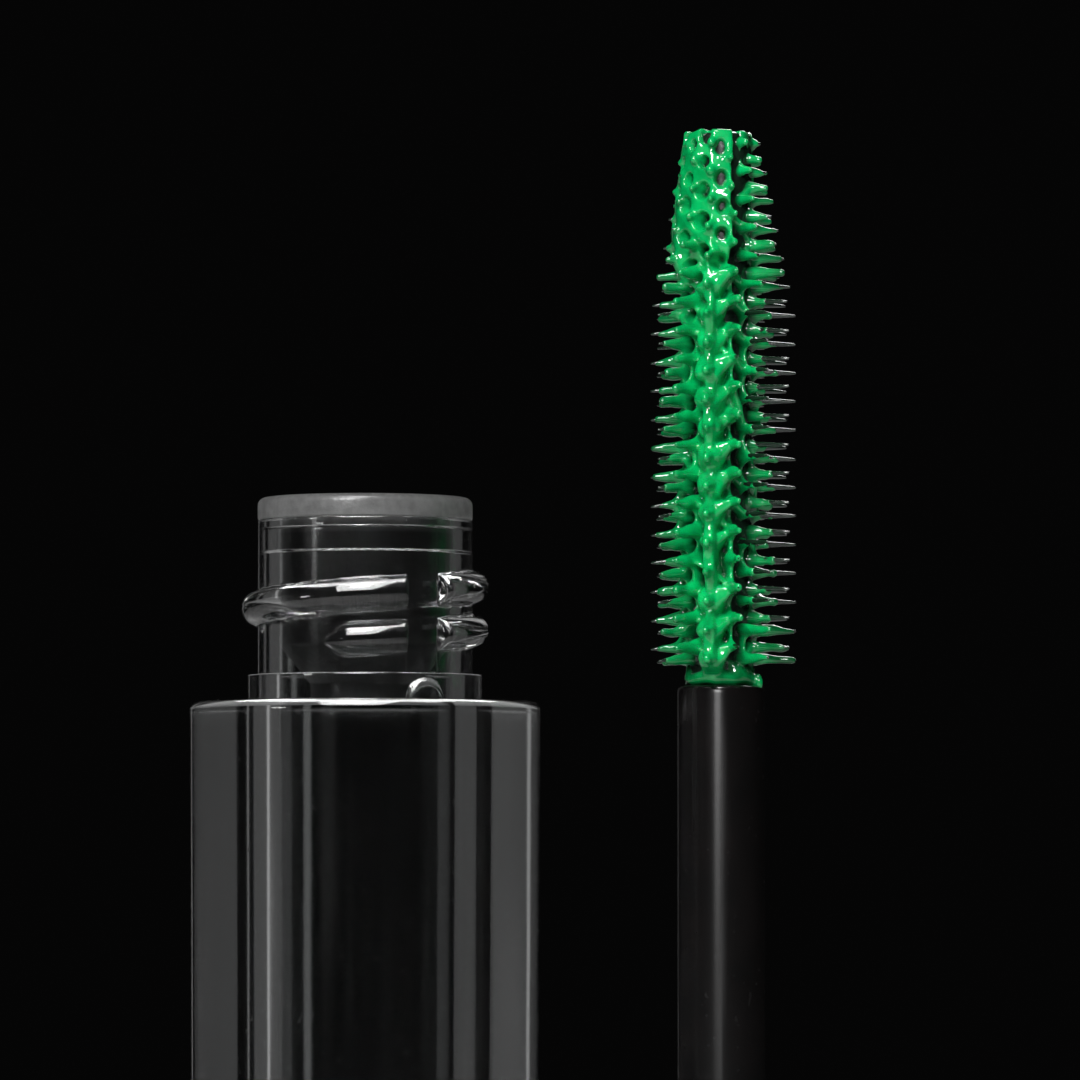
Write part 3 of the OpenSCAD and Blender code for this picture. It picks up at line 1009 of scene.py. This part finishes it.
def sleeve(i):
    """Join a tapered sleeve on bristle i to the field: distance to its centre line less a falling radius.
    It is narrower from side to side than it is high, and where it ends early its end is a small bead."""
    a = bristle_centre(0.0)[i] - [WAND_X, 0, 0]
    b = bristle_centre(cover[i])[i] - [WAND_X, 0, 0]
    b = b - [0, 0, 0.03]
    room = thick[i] + 0.25
    lo = np.minimum(a, b) - room
    hi = np.maximum(a, b) + room
    first = np.maximum(((lo - lattice_low) / LATTICE).astype(int), 0)
    last = ((hi - lattice_low) / LATTICE).astype(int) + 2
    cut = tuple(slice(f, e) for f, e in zip(first, last))
    x = X3[cut[0]] - a[0]
    y = Y3[:, cut[1]] - a[1]
    z = Z3[:, :, cut[2]] - a[2]
    d = b - a
    u = np.clip((x * d[0] + y * d[1] + z * d[2]) / (d @ d), 0, 1)
    sideways = (y - u * d[1]) * np.cos(angle_of[i]) - (x - u * d[0]) * np.sin(angle_of[i])
    away = (x - u * d[0]) ** 2 + (y - u * d[1]) ** 2 + (z - u * d[2]) ** 2
    away = np.sqrt(away + FLATTEN * sideways**2)
    taper = thick[i] + (thin_end[i] - thick[i]) * u
    bead = 0.05 * np.exp(-(((u - 0.97) / 0.08) ** 2)) if cover[i] < 0.7 else 0.0
    field[cut] = smooth_min(field[cut], away - taper - bead, 0.14)


for i in range(count):
    sleeve(i)

# %% Ring at the foot, a drip, and lumps


def ring_at_foot():
    """A rounded ring of product that the wiper has pushed down onto the stem's end."""
    out = radius2[:, :, None] - (1.62 + 0.05 * np.sin(3 * angle2 + 1)[:, :, None])
    up = Z3 - (STEM_TOP + 0.36)
    return np.sqrt(out**2 + (up * 0.95) ** 2) - 0.33


def drip():
    """A small hanging drop at the right of the ring."""
    x = X3 - 1.95
    y = Y3 + 0.7
    z = (Z3 - STEM_TOP - 0.25) * 0.5
    return np.sqrt(x**2 + y**2 + z**2) - 0.22


field = smooth_min(field, ring_at_foot(), 0.15)
field = smooth_min(field, drip(), 0.15)
lumps = np.zeros(field.shape, np.float32)
for _ in range(14):
    k = dice.normal(0, 3.2, 3)
    lumps += np.sin(k[0] * X3 + k[1] * Y3 + k[2] * Z3 + dice.uniform(0, 6.28)).astype(np.float32)
field = field + 0.011 * lumps
print("field from", round(float(field.min()), 2), "to", round(float(field.max()), 2))

# %% [markdown]
# A surface net turns the field into a mesh. Each lattice cell that the surface crosses gets one point,
# the mean of the places where it crosses the cell's edges, and each crossed lattice edge gets one face
# between its four cells.

# %% Surface net


def surface_net(values, origin, step):
    """Points and quads of the surface where values change sign, inside being negative."""
    inside = values < 0
    shape = np.array(values.shape) - 1
    corner = [(i, j, k) for i in (0, 1) for j in (0, 1) for k in (0, 1)]
    cut = [tuple(slice(o, o + s) for o, s in zip(c, shape)) for c in corner]
    total = sum(inside[c].astype(np.int8) for c in cut)
    cells = np.argwhere((total > 0) & (total < 8))
    number = np.full(shape, -1)
    number[tuple(cells.T)] = np.arange(len(cells))
    at = [values[tuple((cells + c).T)] for c in corner]
    places = np.zeros((len(cells), 3))
    hits = np.zeros(len(cells))
    for p in range(8):
        for q in range(p + 1, 8):
            move = np.subtract(corner[q], corner[p])
            if np.abs(move).sum() != 1:
                continue
            crossed = (at[p] < 0) != (at[q] < 0)
            share = np.where(crossed, at[p] / np.where(crossed, at[p] - at[q], 1), 0)
            places += crossed[:, None] * (np.array(corner[p]) + share[:, None] * move)
            hits += crossed
    points = origin + step * (cells + places / hits[:, None])
    quads = []
    for axis in range(3):
        u, v = (axis + 1) % 3, (axis + 2) % 3
        here = [slice(0, -1)] * 3
        there = [slice(0, -1)] * 3
        there[axis] = slice(1, None)
        a = inside[tuple(here)]
        b = inside[tuple(there)]
        edges = np.argwhere(a != b)
        edges = edges[(edges[:, u] > 0) & (edges[:, v] > 0)]
        back_u = np.eye(3, dtype=int)[u]
        back_v = np.eye(3, dtype=int)[v]
        ring = [edges - back_u - back_v, edges - back_v, edges, edges - back_u]
        four = np.stack([number[tuple(r.T)] for r in ring], -1)
        outward = a[tuple(edges.T)]
        quads.append(np.where(outward[:, None], four, four[:, ::-1]))
    return points, quads


net_points, net_quads = surface_net(field, lattice_low + [WAND_X, 0, 0], LATTICE)
wet = to_mesh("wet_product", net_points, net_quads)

# %% [markdown]
# The net has far more faces than its smooth parts need, so Decimate thins them where the surface is
# nearly flat, and the result becomes the piece's own mesh.

# %% Thin the net


def thin_out(obj, most):
    """Collapse edges until the piece has about `most` triangles, and keep the result as its mesh."""
    tris = sum(len(p.vertices) - 2 for p in obj.data.polygons)
    tool = obj.modifiers.new("thin", "DECIMATE")
    tool.ratio = min(1.0, most / tris)
    ready = obj.evaluated_get(bpy.context.evaluated_depsgraph_get())
    mesh = bpy.data.meshes.new_from_object(ready)
    obj.modifiers.clear()
    obj.data = mesh
    mesh.polygons.foreach_set("use_smooth", np.ones(len(mesh.polygons), bool))
    print(obj.name, "thinned from", tris, "to", sum(len(p.vertices) - 2 for p in mesh.polygons))


MOST_TRIS = 185000
thin_out(wet, MOST_TRIS)

# %% [markdown]
# The product is an opaque wet green with a clear coat. Its colour is darkened near the core, partly because
# thin product there shows the black plastic through and partly as painted shade in the recesses, and toward
# the bristle ends at both sides along X as painted shade.

# %% Product material

product = finish(
    "product",
    {
        "Specular IOR Level": 0.06,
        "Coat Weight": 1.0,
        "Coat Roughness": 0.04,
        "Roughness": 0.45,
    },
    colours=((0.0, 0.20, 0.047), (0.0, 0.33, 0.082), 900.0),
    bump=(2600.0, 0.00007, 0.5),
)


def ramp(tree, value, start, end, low=0.0, high=1.0):
    """Value between low and high while a length at a socket goes from start to end (mm)."""
    links = {0: value, 1: start * MM, 2: end * MM, 3: low, 4: high}
    return node(tree, "MapRange", links).outputs[0]


def paint_thin_film_and_shade(material, thin, full_at_end, full_below, share):
    """Multiply a material's colour by share at the radius thin, rising to 1 at a full radius (mm), which
    is full_at_end on the flat end and full_below from 9 mm down: partly thin product over black plastic,
    partly painted shade in the recesses. The flat end keeps its whole colour, and both sides along X fade
    to a fifth of it as painted shade."""
    tree = material.node_tree
    where = node(tree, "TexCoord").outputs["Object"]
    axis = (WAND_X * MM, 0, 0)
    centred = node(tree, "VectorMath", {0: where, 1: axis}, operation="SUBTRACT").outputs[0]
    level = node(tree, "VectorMath", {0: centred, 1: (1, 1, 0)}, operation="MULTIPLY").outputs[0]
    out = node(tree, "VectorMath", {0: level}, operation="LENGTH").outputs["Value"]
    parts = node(tree, "SeparateXYZ", {0: centred})
    up = parts.outputs[2]
    full = ramp(tree, up, BRUSH_TOP - 9, BRUSH_TOP, full_below * MM, full_at_end * MM)
    # Darker near the core: partly thin product over black plastic, partly painted shade in the recesses.
    gain = node(tree, "MapRange", {0: out, 1: thin * MM, 2: full, 3: share, 4: 1.0}).outputs[0]
    aside = node(tree, "Math", {0: parts.outputs[0]}, operation="ABSOLUTE").outputs[0]
    # Painted shade: the colour falls toward both sides along X.
    sides = ramp(tree, aside, 1.5, 3.6, 1.0, 0.2)
    flat_end = ramp(tree, up, BRUSH_TOP - 0.4, BRUSH_TOP - 0.15)
    kept = node(tree, "Math", {0: gain, 1: flat_end}, operation="MAXIMUM").outputs[0]
    both = node(tree, "Math", {0: kept, 1: sides}, operation="MULTIPLY").outputs[0]
    multiply_colour(material, both)


# Thin-film darkening and painted shade on the product.
paint_thin_film_and_shade(product, 1.58, 1.76, 2.25, 0.02)
dress(wet, "product_coat", "wand", product)

# %% [markdown]
# ## Studio
# A pale floor, a dim neutral room, and soft boxes. Clear plastic and black plastic have hardly any colour
# of their own: they show what they bend or reflect. Tall strips behind and to the sides draw the pale
# bands and edge lines in the bottle's wall. Two broad boxes above whiten the tops of its thread, and a
# small one at the left leaves a window's reflection on its neck. The wand has its own lights: a key at
# the front left, a small spark for white points on the wet product, a streak for the soft line down the
# stem, and a fill for the views from behind. Some lights reach only the pieces that they are meant for,
# as flags and snoots do in a studio.

# %% Floor and room


def floor_disc(columns=96):
    """Flat disc just under z = 0, as rings of points round one middle point."""
    under = -0.01
    b = np.linspace(0, 2 * np.pi, columns, endpoint=False)
    rings = np.array([40.0, 120.0, 300.0, 520.0])[:, None]
    level = np.full((len(rings), columns), under)
    grid = np.stack([rings * np.cos(b), rings * np.sin(b), level], -1).reshape(-1, 3)
    column = np.arange(columns)
    after = np.roll(column, -1)
    quads = skin(len(rings), columns)[:, [0, 3, 2, 1]]
    fan = np.stack([column, after, np.full(columns, len(grid))], -1)
    return to_mesh("studio_floor", np.vstack([grid, [[0, 0, under]]]), [quads, fan])


floor = floor_disc()
paper = finish("floor_paper", {"Roughness": 0.8}, colours=((0.60, 0.60, 0.60), (0.66, 0.66, 0.66), 30.0))
floor.data.materials.append(paper)
world = bpy.data.worlds.new("room")
world.use_nodes = True
DIM = 0.0016
world.node_tree.nodes["Background"].inputs["Color"].default_value = (DIM, DIM, DIM, 1)
bpy.context.scene.world = world

# %% Soft boxes

MIDDLE_X = 0.0092
CENTRE = Vector((MIDDLE_X, 0.0, 0.066))


def soft_box(name, bearing, rise, distance, width, height, watts):
    """Area light, distance metres from the centre and aimed at it: bearing degrees right of the front,
    rise degrees above the horizon."""
    b, e = math.radians(bearing), math.radians(rise)
    toward = Vector((math.sin(b) * math.cos(e), -math.cos(b) * math.cos(e), math.sin(e)))
    data = bpy.data.lights.new(name, "AREA")
    data.shape = "RECTANGLE"
    data.size = width
    data.size_y = height
    data.energy = watts
    lamp = bpy.data.objects.new(name, data)
    lamp.location = CENTRE + toward * distance
    lamp.rotation_euler = (-toward).to_track_quat("-Z", "Y").to_euler()
    lamp.visible_camera = False
    bpy.context.scene.collection.objects.link(lamp)
    return lamp


def only_for(lamp, pieces):
    """Let a light fall on some pieces only."""
    lit = bpy.data.collections.new("lit_by_" + lamp.name)
    for piece in pieces:
        lit.objects.link(piece)
    lamp.light_linking.receiver_collection = lit


# %% Strips behind the bottle, seen only through its wall

for strip in (
    soft_box("right_back", 131, 6, 0.42, 0.30, 0.5, 0.033),
    soft_box("left_back", -122, 6, 0.42, 0.36, 0.5, 0.050),
    soft_box("left_line", -118, 4, 0.42, 0.03, 0.5, 0.020),
):
    strip.visible_glossy = False
    strip.visible_diffuse = False
    print(strip.name, "lights what is seen through clear plastic")

# %% Lights for everything, then lights for some pieces

soft_box("left_edge", -158, 4, 0.42, 0.03, 0.5, 0.010)
soft_box("top_box", -12, 58, 0.4, 0.09, 0.09, 1.2)
for box, pieces in (
    (("key_box", -22, 30, 0.45, 0.07, 0.12, 1.8), [wet, brush, outer_cap, wiper, floor]),
    (("spark", 4, 20, 0.45, 0.06, 0.06, 1.0), [wet, brush]),
    (("streak", -9, 11, 0.5, 0.13, 0.15, 0.9), [stem, outer_cap]),
    (("back_fill", 160, 38, 0.45, 0.2, 0.2, 1.1), [wet, brush, stem, outer_cap]),
    (("broad_top", 180, 74, 0.4, 0.5, 0.42, 9.0), [bottle]),
    (("front_top", -10, 56, 0.4, 0.26, 0.42, 6.0), [bottle]),
    (("window", -57, 7.6, 0.42, 0.07, 0.04, 0.13), [bottle]),
):
    lamp = soft_box(*box)
    only_for(lamp, pieces)
    print(lamp.name, "lights", [piece.name for piece in pieces])

# %% [markdown]
# ## Camera
# A long lens a third of a metre in front, a little below the shoulder and tilted up by under 3 degrees.

# %% Camera

camera_data = bpy.data.cameras.new("camera")
camera_data.lens = 222
camera_data.sensor_width = 36
camera_data.clip_start = 0.01
camera = bpy.data.objects.new("camera", camera_data)
camera.location = (MIDDLE_X, -0.350, 0.0552)
aim = Vector((MIDDLE_X, 0, 0.0715)) - camera.location
camera.rotation_euler = aim.to_track_quat("-Z", "Y").to_euler()
bpy.context.scene.collection.objects.link(camera)
bpy.context.scene.camera = camera
bpy.context.scene.view_settings.view_transform = "Standard"
